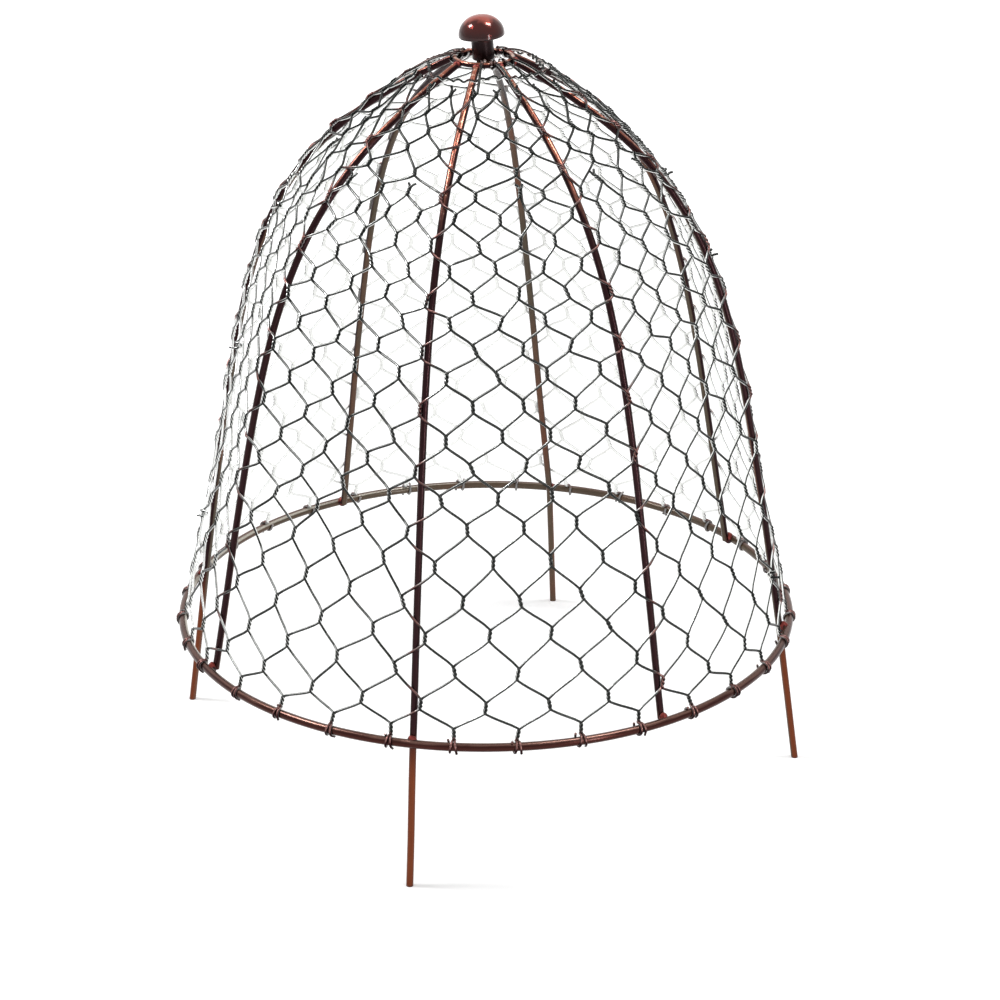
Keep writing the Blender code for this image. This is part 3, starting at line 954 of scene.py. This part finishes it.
class PROTECTOR_OT_netting(bpy.types.Operator):
    """Twist the netting from wires that rise leftwards and rightwards over the bell"""
    bl_idname = "protector.netting"
    bl_label = "Hexagonal netting"

    def execute(self, context):
        settings = context.scene.protector_net
        netting = Netting(settings)
        panels = [f"netting_panel_{index + 1}" for index in range(8)]
        right, left = [[netting.wire(column, side) for column in range(settings.columns)]
                       for side in (-1, 1)]
        tree = sweep_tree()
        values = {"Diameter": settings.gauge, "Sides": settings.sides, "Stray": WIRE_STRAY,
                  "Stray Scale": WIRE_STRAY_SCALE, "Seed": WIRE_SEED,
                  "Material": netting_wire(context.scene.protector_finish)}
        ends = [cut_end_route(netting, *spot) for spot in hang_points(netting)]
        for name, routes, nodes in (("netting_rising_right", right, panels[:4]),
                                    ("netting_rising_left", left, panels[4:]),
                                    ("netting_cut_ends", ends, ()),
                                    ("crown_lacing_wire", [lacing_route(netting)], ())):
            deliver(baked(name, path_mesh(routes), tree, values), "netting_wire", *nodes)
        return {"FINISHED"}


# Turned shapes
MERGE_DISTANCE = 0.01 * MM              # closer points are one
SHARP_ANGLE = math.radians(50)
CAP_RIM, STEM_EDGE = 1.1 * MM, 0.9 * MM     # radii of their rounded lower edges
DOME_STEPS, DOME_FULLNESS = 24, 0.96    # below 1 the dome is fuller than a half ellipsoid
BORE_DEPTH = 10 * MM                    # of the screw's hole in the stem
SHANK_TOP = 9.7 * MM                    # of the screw, over the foot of the stem
HEAD_RADIUS, HEAD_HEIGHT, HEAD_EDGE = 4.6 * MM, 3.2 * MM, 1.4 * MM
RECESS_MOUTH, RECESS_RADIUS = 1.9 * MM, 1.7 * MM    # of the round recess in the head
RECESS_EDGE, RECESS_DEPTH = 0.3 * MM, 1.7 * MM
CAP_SIDES, STEM_SIDES, SCREW_SIDES = 96, 72, 48
STRAP_EDGE = 0.5 * MM


def turned(profile, steps):
    """A closed turned shape from a profile that runs down its outer side."""
    builder = bmesh.new()
    ring = [builder.verts.new((radius, 0, height)) for radius, height in profile]
    edges = [builder.edges.new(pair) for pair in zip(ring, ring[1:])]
    bmesh.ops.spin(builder, geom=ring + edges, cent=(0, 0, 0), axis=(0, 0, 1), angle=math.tau,
                   steps=steps, use_merge=True)
    bmesh.ops.remove_doubles(builder, verts=builder.verts, dist=MERGE_DISTANCE)
    bmesh.ops.recalc_face_normals(builder, faces=builder.faces)
    mesh = bpy.data.meshes.new("turned")
    builder.to_mesh(mesh)
    builder.free()
    mesh.shade_smooth()
    mesh.set_sharp_from_angle(angle=SHARP_ANGLE)
    return mesh


def knob_seat():
    """Place and lean of everything that hangs on the knob's axis."""
    lean = Matrix.Rotation(math.radians(-KNOB_LEAN), 4, "Y")
    turn = Matrix.Rotation(math.radians(KNOB_TURN), 4, "Z")
    return Matrix.Translation((0, 0, STEM_FOOT_HEIGHT)) @ turn @ lean


def rounded(radius, height, edge, steps):
    """Profile points round the lower outer edge of a turned shape, edge in radius."""
    turns = [math.radians(-90 * index / steps) for index in range(steps + 1)]
    return [(radius - edge + edge * math.cos(turn), height + edge + edge * math.sin(turn))
            for turn in turns]


def seated(name, node, slot, mesh, paint):
    """Lean a turned piece with the knob, paint it and deliver it."""
    mesh.transform(knob_seat())
    mesh.materials.append(paint)
    deliver(link(mesh, name), slot, node)


class PROTECTOR_OT_knob(bpy.types.Operator):
    """Turn the mushroom knob's cap and its stem"""
    bl_idname = "protector.knob"
    bl_label = "Knob"

    def execute(self, context):
        shape = context.scene.protector_knob
        finish = context.scene.protector_finish
        rim_height = OVERALL_HEIGHT - shape.cap_height - STEM_FOOT_HEIGHT
        dome = []
        for index in range(DOME_STEPS + 1):
            around = math.pi / 2 * index / DOME_STEPS
            dome.append((shape.cap_radius * math.sin(around) ** DOME_FULLNESS,
                         rim_height + CAP_RIM + (shape.cap_height - CAP_RIM) * math.cos(around)))
        cap = turned(dome + rounded(shape.cap_radius, rim_height, CAP_RIM, 6)[1:]
                     + [(shape.stem_radius, rim_height), (0, rim_height)], CAP_SIDES)
        stem_top = rim_height - GAP
        bore = SCREW_RADIUS + GAP
        stem = turned([(0, stem_top), (shape.stem_radius, stem_top)]
                      + rounded(shape.stem_radius, 0, STEM_EDGE, 5)
                      + [(bore, 0), (bore, BORE_DEPTH), (0, BORE_DEPTH)], STEM_SIDES)
        seated("knob_cap_turned", "knob_cap", "knob_paint", cap, cap_paint(finish))
        seated("knob_stem_turned", "knob_stem", "knob_paint", stem, stem_paint(finish))
        return {"FINISHED"}


class PROTECTOR_OT_strap(bpy.types.Operator):
    """Round the strap's edges and turn the screw that holds the knob to it"""
    bl_idname = "protector.strap"
    bl_label = "Strap and screw"

    def execute(self, context):
        finish = context.scene.protector_finish
        self.round_strap(finish)
        head_top = -GAP - STRAP_THICKNESS - GAP
        head_foot = head_top - HEAD_HEIGHT
        shank = [(0, SHANK_TOP), (SCREW_RADIUS, SHANK_TOP), (SCREW_RADIUS, head_top)]
        recess = [(RECESS_MOUTH, head_foot), (RECESS_RADIUS, head_foot + RECESS_EDGE),
                  (RECESS_RADIUS, head_foot + RECESS_DEPTH), (0, head_foot + RECESS_DEPTH)]
        screw = turned(shank + [(HEAD_RADIUS, head_top)]
                       + rounded(HEAD_RADIUS, head_foot, HEAD_EDGE, 6) + recess, SCREW_SIDES)
        seated("knob_screw_turned", "knob_screw", "screw_steel", screw, screw_steel(finish))
        return {"FINISHED"}

    @staticmethod
    def round_strap(finish):
        """A copy of the frame's strap with clean faces and rounded edges."""
        builder = bmesh.new()
        builder.from_mesh(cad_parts["hub_strap"].data)
        bmesh.ops.remove_doubles(builder, verts=builder.verts, dist=MERGE_DISTANCE)
        bmesh.ops.dissolve_limit(builder, angle_limit=math.radians(2), verts=builder.verts,
                                 edges=builder.edges)
        mesh = bpy.data.meshes.new("hub_strap_rounded")
        builder.to_mesh(mesh)
        builder.free()
        mesh.materials.append(frame_paint(finish))
        strap = link(mesh, "hub_strap_rounded")
        soften = strap.modifiers.new("soften", "BEVEL")
        soften.width = STRAP_EDGE
        soften.segments = 3
        soften.limit_method = "ANGLE"
        soften.harden_normals = True
        mesh.shade_smooth()
        deliver(strap, "frame_paint", "hub_strap")


SHOULDER_LOW = 0.25                     # height where the bell starts to turn over
CROWN_FROM, CROWN_TO = 0.42, 0.48       # heights over which the shoulder becomes the crown
LEG_FADE = (BASE_HEIGHT + 12 * MM, BASE_HEIGHT - 30 * MM)   # heights where a leg turns rust red
TOP_LIGHT_FROM = (0.45, 0.30, 0.84)          # way that the dust and the painted highlight on the inner side come from, near the key lamp's
PAINTED_GLINT_FROM = (-0.266, -0.602, 0.752)  # way that the painted highlight on the netting faces, between the camera and the left lamp

# Grain of each finish: spots a metre, about, and levels of detail
STREAKS = (1.6, 4.0)                    # in units of their own, one to a rod's radius across it
STREAK_RUN = 28                         # and this many to a metre along it
MOTTLE, SPECKS, THIN_PATCHES = (45.0, 4.0), (420.0, 3.0), (11.0, 2.0)
WELD_CLOUDS = (260.0, 3.0)
CAP_CLOUDS, CAP_GRAIN = (130.0, 2.0), (700.0, 2.0)
STEM_CLOUDS, STEM_GRAIN = (120.0, 3.0), (600.0, 2.0)
WIRE_CLOUDS, WIRE_GRAIN = (60.0, 3.0), (900.0, 2.0)
STEEL_GRAIN = (500.0, 3.0)
GRAIN_ROUGHNESS = 0.55


def opaque(colour):
    """A colour property as four numbers."""
    return (*colour, 1.0)


class Paint(Graph):
    """A material's node tree, with what its colours depend on."""

    def __init__(self, name, finish=None):
        self.material = bpy.data.materials.new(name)
        self.material.use_nodes = True
        super().__init__(self.material.node_tree)
        self.finish = finish
        self.where = self.add("ShaderNodeTexCoord", output="Object")

    def tint(self, share, first, second):
        """A colour that goes from first to second with share; a string names one of Finishes."""
        first, second = [opaque(getattr(self.finish, colour)) if isinstance(colour, str) else colour
                         for colour in (first, second)]
        return self.add("ShaderNodeMix", {"data_type": "RGBA"}, {0: share, 6: first, 7: second}, 2)

    def noise(self, scale, detail, where=None):
        """Soft noise, from 0 to 1."""
        return self.add("ShaderNodeTexNoise", {}, {"Vector": where or self.where, "Scale": scale,
                                                   "Detail": detail,
                                                   "Roughness": GRAIN_ROUGHNESS})

    def swept(self, name, output):
        """A value that the sweep or its guide has stored on the surface."""
        return self.add("ShaderNodeAttribute", {"attribute_name": name}, output=output)

    def facing(self, way):
        """How far the surface faces a way, from -1 to 1."""
        normal = self.add("ShaderNodeTexCoord", output="Normal")
        return self.vector("DOT_PRODUCT", normal, way, output="Value")

    def rise(self):
        """How far the surface faces upwards."""
        return self.facing((0.0, 0.0, 1.0))

    def outward(self):
        """How far the surface faces out of the bell."""
        over = self.vector("SUBTRACT", self.where, (0.0, 0.0, SHOULDER_LOW))
        return self.facing(self.vector("NORMALIZE", self.vector("MAXIMUM", over, (-1.0, -1.0, 0.0))))

    def crown(self):
        """One on the crown, where the bell is nearly level, and zero below it."""
        return self.between(self.upward(self.where), CROWN_FROM, CROWN_TO)

    def bumped(self, height, strength, depth):
        """The surface's normal over small bumps."""
        return self.add("ShaderNodeBump", {}, {"Strength": strength, "Distance": depth,
                                               "Height": height}, output="Normal")

    def feed(self, values):
        """Set or link the shader's sockets, and give the material."""
        self.supply(self.tree.nodes["Principled BSDF"], values)
        return self.material


def frame_paint(finish):
    """Dark oxblood paint with copper over what faces up, partly brushed and partly painted highlight,
    and painted highlights and glints on the crown; thin tan on the inner side, partly painted light,
    with dust and a painted highlight on its top.
    """
    name = "rod_oxblood"
    if name in bpy.data.materials:
        return bpy.data.materials[name]
    paint = Paint(name, finish)
    rise, crown = paint.rise(), paint.crown()
    run = paint.add("ShaderNodeCombineXYZ", {}, {"Z": paint.swept("along", "Fac") * STREAK_RUN})
    streak = paint.noise(*STREAKS, where=paint.vector("ADD", paint.swept("rim", "Vector"), run))
    mottle = paint.noise(*MOTTLE)
    speck = paint.noise(*SPECKS)
    # on the crown the copper becomes a painted highlight
    copper = paint.tint(crown, "copper", "crown_copper_highlight")
    # copper over what faces up: partly brushed paint, partly a painted highlight
    brushed_and_highlight = paint.between(rise * 0.9 + streak * 0.8 + mottle * 0.5, 1.1, 1.5)
    colour = paint.tint(brushed_and_highlight, "shade", copper)
    leg = paint.between(paint.upward(paint.where), *LEG_FADE)
    colour = paint.tint(leg * (0.6 + 0.5 * streak), colour, "leg")
    # the inner side's tan is partly thin paint, partly painted light on the far rods
    inner = paint.between(paint.outward() + crown * 0.5, -0.22, -0.68)
    thin = paint.tint(paint.between(paint.noise(*THIN_PATCHES), 0.45, 0.7) * 0.7, "inside", "leg")
    colour = paint.tint(inner * (0.6 + 0.5 * mottle), colour, thin)
    # dust and a painted highlight on top of the inner side, facing the key lamp
    dust_and_highlight_share = inner * paint.between(paint.facing(TOP_LIGHT_FROM) + mottle * 0.3, 0.62, 0.9)
    colour = paint.tint(dust_and_highlight_share, colour, "dust_and_highlight")
    worn = paint.between(speck * 0.5 + mottle * 0.5, 0.66, 0.74)
    colour = paint.tint(worn * 0.6, colour, copper)
    # painted glints on the crown's rods, where they face up
    painted_glint = paint.between(rise * 0.4 + speck * 0.8 + streak * 0.3, 0.92, 1.0) * crown
    colour = paint.tint(painted_glint * 0.7, colour, "painted_glint")
    return paint.feed({
        "Base Color": colour, "Metallic": 0.85 - 0.6 * inner, "Roughness": speck * 0.12 + 0.19,
        "Normal": paint.bumped(speck * 0.5 + streak * 0.8, strength=0.35, depth=0.25 * MM),
        "Coat Weight": 0.12, "Coat Roughness": 0.15, "Specular IOR Level": 0.25})


def weld_paint(finish):
    """Red-brown primer of the weld beads, darker in clouds."""
    paint = Paint("weld_bead_primer", finish)
    cloud = paint.noise(*WELD_CLOUDS)
    colour = paint.tint(paint.between(cloud - paint.rise() * 0.2, 0.4, 0.6), "weld", "shade")
    return paint.feed({
        "Base Color": colour, "Metallic": 0.5, "Roughness": cloud * 0.3 + 0.25,
        "Normal": paint.bumped(cloud, strength=0.4, depth=0.3 * MM), "Specular IOR Level": 0.25})


def cap_paint(finish):
    """Glossy red-brown enamel, with painted shade near black towards the rim and a painted red
    highlight on top.
    """
    paint = Paint("knob_cap_enamel", finish)
    rise = paint.rise()
    cloud = paint.noise(*CAP_CLOUDS)
    fine = paint.noise(*CAP_GRAIN)
    # painted shade: near black where the cap faces down towards the rim
    colour = paint.tint(paint.between(rise + cloud * 0.5, 0.9, 0.1) * 0.85, "cap", "stem")
    # painted red highlight on top of the cap
    colour = paint.tint(paint.between(rise + cloud * 0.7, 1.0, 1.35), colour, "cap_painted_highlight")
    return paint.feed({
        "Base Color": colour, "Metallic": 0.9, "Roughness": fine * 0.08 + 0.13,
        "Normal": paint.bumped(cloud + fine * 0.03, strength=0.8, depth=0.9 * MM),
        "Coat Weight": 0.5, "Coat Roughness": 0.1, "Specular IOR Level": 0.2})


def stem_paint(finish):
    """Near-black maroon paint of the stem."""
    paint = Paint("knob_stem_enamel", finish)
    cloud = paint.noise(*STEM_CLOUDS)
    fine = paint.noise(*STEM_GRAIN)
    colour = paint.tint(paint.between(cloud, 0.5, 0.75) * 0.5, "stem", "cap")
    return paint.feed({
        "Base Color": colour, "Metallic": 0.6, "Roughness": fine * 0.2 + 0.22,
        "Normal": paint.bumped(cloud + fine * 0.3, strength=0.3, depth=0.2 * MM),
        "Specular IOR Level": 0.2})


def netting_wire(finish):
    """Charcoal wire, worn and with painted highlights on its outer crest and towards the left lamp,
    bare zinc inside lightened as painted glare, painted at the frame.
    """
    paint = Paint("netting_wire_zinc", finish)
    rise, outward, crown = paint.rise(), paint.outward(), paint.crown()
    painted = paint.swept("painted", "Fac")
    cloud = paint.noise(*WIRE_CLOUDS)
    fine = paint.noise(*WIRE_GRAIN)
    # outer crest: partly wear, partly a painted highlight
    crest = paint.between(outward + rise * 0.25 + cloud * 0.2, 0.8, 1.2)
    colour = paint.tint(crest, "wire", "wire_crest")
    # painted highlight on the side facing between the camera and the left lamp
    bright = paint.between(paint.facing(PAINTED_GLINT_FROM) + cloud * 0.06, 0.935, 0.99) * (1 - crown)
    colour = paint.tint(bright, colour, "wire_painted_glint")
    # frame paint caught on the wire, lighter where it faces up and out as a painted highlight
    caught_paint_and_highlight = paint.tint(paint.between(outward * 0.5 + rise + cloud, 0.9, 1.4), "shade", "wire_paint_and_highlight")
    colour = paint.tint(painted, colour, caught_paint_and_highlight)
    # inner side near white: bare zinc, lightened as painted glare
    inner = paint.between(outward + crown * 0.25, 0.12, -0.06) * (1 - painted * 0.8)
    colour = paint.tint(inner, colour, "wire_inside_and_glare")
    return paint.feed({
        "Base Color": colour, "Metallic": (1 - inner) * 0.7,
        "Roughness": fine * 0.2 + 0.16 + inner * 0.4,
        "Normal": paint.bumped(fine, strength=0.3, depth=0.15 * MM), "Specular IOR Level": 0.1})


def screw_steel(finish):
    """Zinc-plated steel, dulled in places."""
    paint = Paint("screw_steel_plated", finish)
    fine = paint.noise(*STEEL_GRAIN)
    colour = paint.tint(paint.between(fine, 0.45, 0.7) * 0.5, "steel", "inside")
    return paint.feed({"Base Color": colour, "Metallic": 0.9, "Roughness": fine * 0.2 + 0.25})


# Lamps: their level among the studio settings, the way they stand from the middle of the
# bell, their distance, width and height
LAMPS = {
    "window_light": ("key_radiance", (0.34, 0.08, 0.94), 2.0, 0.36, 0.60),
    "left_light": ("fill_radiance", (-0.625, -0.05, 0.777), 2.2, 0.45, 0.45),
    "soft_light": ("soft_radiance", (0.20, -0.95, 0.25), 2.7, 2.0, 2.0),
    "strip_light": ("strip_radiance", (0.755, -0.656, 0.12), 1.9, 0.08, 1.0),
}
FLOOR_HALF = 6.0
GLOW_FROM, GLOW_TO = 0.4, 2.5           # distances over which the floor's own glow grows
GLOW_NEAR, GLOW_MORE = 0.2, 0.75        # how strong it is near the bell, and what it gains


def seen_share(graph):
    """One where a camera, glossy or transmission ray asks, zero for the light itself."""
    camera, glossy, through = [graph.add("ShaderNodeLightPath", output=f"Is {kind} Ray")
                               for kind in ("Camera", "Glossy", "Transmission")]
    seen = camera + glossy + through
    return seen.math("MINIMUM", seen, 1.0)


def area_lamp(name, radiance, towards, distance, width, height):
    """A soft box that shines on the middle of the bell."""
    lamp = bpy.data.lights.new(name, "AREA")
    lamp.shape = "RECTANGLE"
    lamp.size, lamp.size_y = width, height
    lamp.energy = radiance * math.pi * width * height
    way = Vector(towards).normalized()
    holder = link(lamp, name)
    holder.location = Vector((0, 0, OVERALL_HEIGHT / 2)) + way * distance
    holder.rotation_euler = way.to_track_quat("Z", "Y").to_euler()
    return holder


class PROTECTOR_OT_stage(bpy.types.Operator):
    """Set the pale floor, the soft lamps, the white surround and the camera"""
    bl_idname = "protector.stage"
    bl_label = "Stage and camera"

    def execute(self, context):
        studio = context.scene.protector_studio
        self.lay_floor(studio)
        self.light_world(studio)
        lamps = {name: area_lamp(name, getattr(studio, level), *stand)
                 for name, (level, *stand) in LAMPS.items()}
        lamps["soft_light"].visible_glossy = False
        self.stand_camera(studio)
        context.scene.view_settings.view_transform = "Standard"
        return {"FINISHED"}

    @staticmethod
    def lay_floor(studio):
        """A wide floor that reads white and keeps the shadow."""
        mesh = bpy.data.meshes.new("floor")
        corners = [(across * FLOOR_HALF, deep * FLOOR_HALF, 0)
                   for across, deep in ((-1, -1), (1, -1), (1, 1), (-1, 1))]
        mesh.from_pydata(corners, [], [(0, 1, 2, 3)])
        paint = Paint("floor_pale")
        away = paint.between(paint.vector("LENGTH", paint.where, output="Value"), GLOW_FROM, GLOW_TO)
        mesh.materials.append(paint.feed({
            "Base Color": opaque(studio.floor), "Roughness": 0.9, "Specular IOR Level": 0.0,
            "Emission Strength": 1.0,
            "Emission Color": seen_share(paint) * (GLOW_NEAR + GLOW_MORE * away)}))
        link(mesh, "floor")

    @staticmethod
    def light_world(studio):
        """White for what is seen, and a plain ambient level for the light."""
        world = bpy.data.worlds.new("pale_surround")
        world.use_nodes = True
        bpy.context.scene.world = world
        graph = Graph(world.node_tree)
        level = seen_share(graph) * (1.0 - studio.ambient) + studio.ambient
        graph.supply(world.node_tree.nodes["Background"], {"Strength": level, "Color": (1, 1, 1, 1)})

    @staticmethod
    def stand_camera(studio):
        """The photograph's viewpoint."""
        data = bpy.data.cameras.new("camera")
        data.lens = studio.lens
        camera = link(data, "camera")
        turn = Matrix.Rotation(studio.camera_turn, 3, "Z")
        camera.location = turn @ Vector((0, -studio.camera_distance, studio.camera_height))
        forward = turn @ Vector((math.sin(studio.camera_yaw) * math.cos(studio.camera_pitch),
                                 math.cos(studio.camera_yaw) * math.cos(studio.camera_pitch),
                                 -math.sin(studio.camera_pitch)))
        upright = forward.to_track_quat("-Z", "Y").to_matrix()
        roll = Matrix.Rotation(studio.camera_roll, 3, "Z")
        camera.rotation_euler = (upright @ roll).to_euler()
        bpy.context.scene.camera = camera


OPERATORS = (PROTECTOR_OT_rods, PROTECTOR_OT_rings, PROTECTOR_OT_welds, PROTECTOR_OT_netting,
             PROTECTOR_OT_knob, PROTECTOR_OT_strap, PROTECTOR_OT_stage)


class PROTECTOR_PT_sidebar(bpy.types.Panel):
    """Lists the steps that build the protector"""
    bl_idname = "PROTECTOR_PT_sidebar"
    bl_label = "Plant protector"
    bl_space_type = "VIEW_3D"
    bl_region_type = "UI"
    bl_category = "Protector"

    def draw(self, context):
        for name, group in GROUPS.items():
            box = self.layout.box()
            for prop in group.__annotations__:
                box.prop(getattr(context.scene, name), prop)
        for operator in OPERATORS:
            self.layout.operator(operator.bl_idname)


CLASSES = (*GROUPS.values(), *OPERATORS, PROTECTOR_PT_sidebar)


def register():
    """Make the classes and the scene's settings known to Blender."""
    for item in CLASSES:
        bpy.utils.register_class(item)
    for name, group in GROUPS.items():
        setattr(bpy.types.Scene, name, PointerProperty(type=group))


def unregister():
    """Take them away again."""
    for name in GROUPS:
        delattr(bpy.types.Scene, name)
    for item in reversed(CLASSES):
        bpy.utils.unregister_class(item)


def main():
    """Make the add-on known, then build every piece in order."""
    register()
    bpy.ops.protector.rods()
    bpy.ops.protector.rings()
    bpy.ops.protector.welds()
    bpy.ops.protector.netting()
    bpy.ops.protector.knob()
    bpy.ops.protector.strap()
    bpy.ops.protector.stage()


if __name__ == "__main__":
    main()
